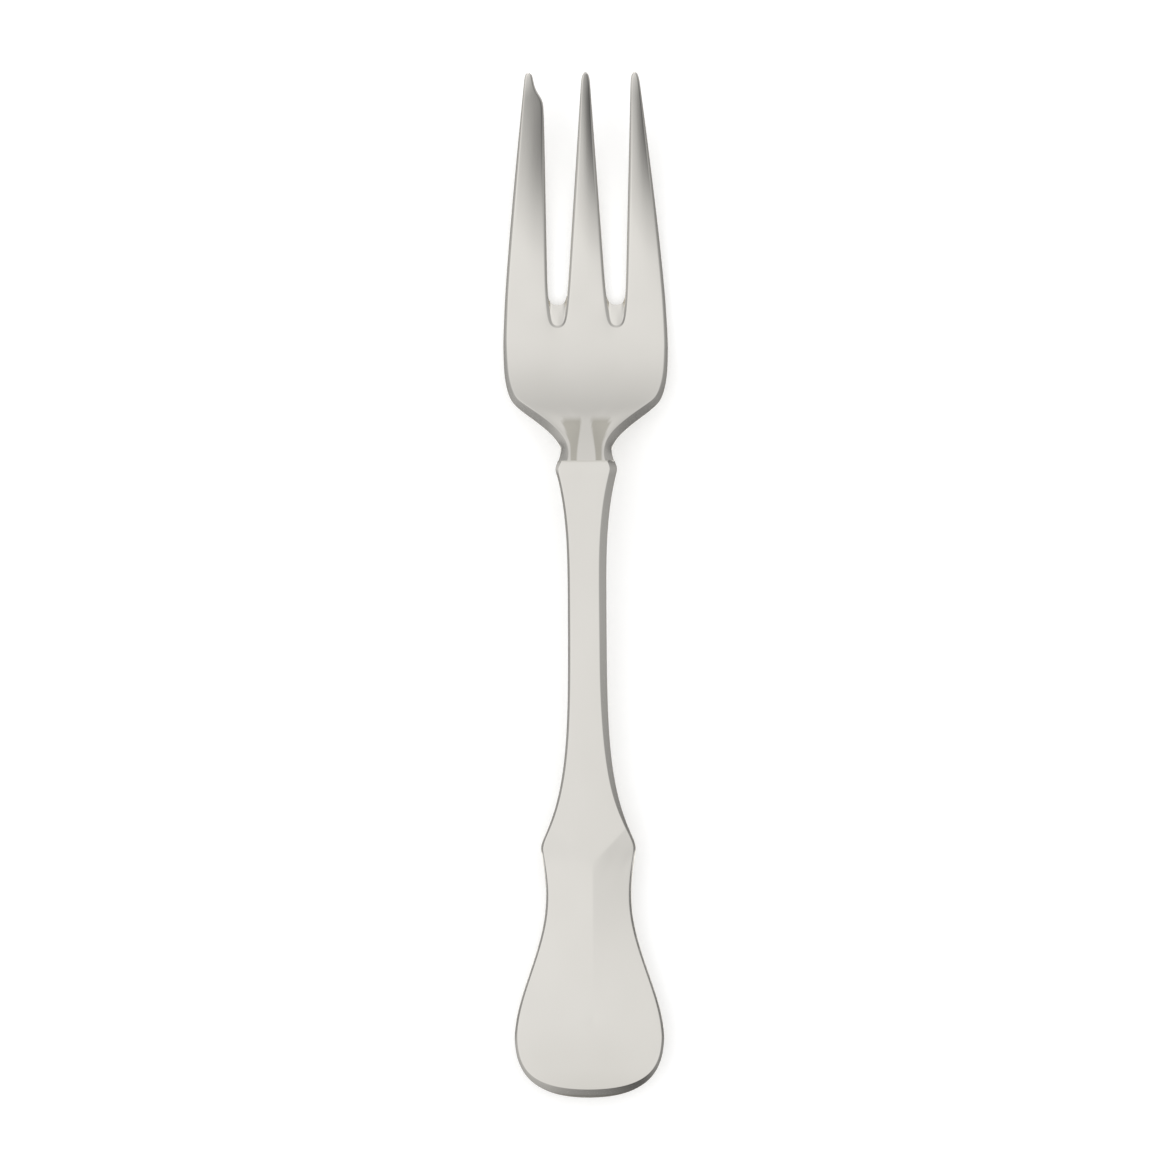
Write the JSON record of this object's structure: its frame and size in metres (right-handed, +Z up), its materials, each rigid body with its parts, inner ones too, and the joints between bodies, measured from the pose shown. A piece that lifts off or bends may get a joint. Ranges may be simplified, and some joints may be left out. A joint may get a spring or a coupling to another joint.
{
  "type": "pastry fork",
  "caption": "Polished metal pastry fork with long tapered tines, a wide cutting tine with a beaked tip, a shallow bowl and a slim faceted hollow handle with a rounded end.",
  "frame": {"origin": "on the table under the middle of the fork, which lies on its back", "axes": "+Y along the fork towards the tine tips, +X to the right seen from above with the tips away, +Z up"},
  "size_m": [0.0242, 0.15, 0.0115],
  "materials": {
    "polished_head": "polished silver plate",
    "polished_handle": "polished silver plate",
    "cement": "hard resin cement"
  },
  "bodies": {
    "root": {"fork_head": "polished_head", "handle_front_shell": "polished_handle", "handle_back_shell": "polished_handle", "handle_filler": "cement"}
  },
  "joints": []
}
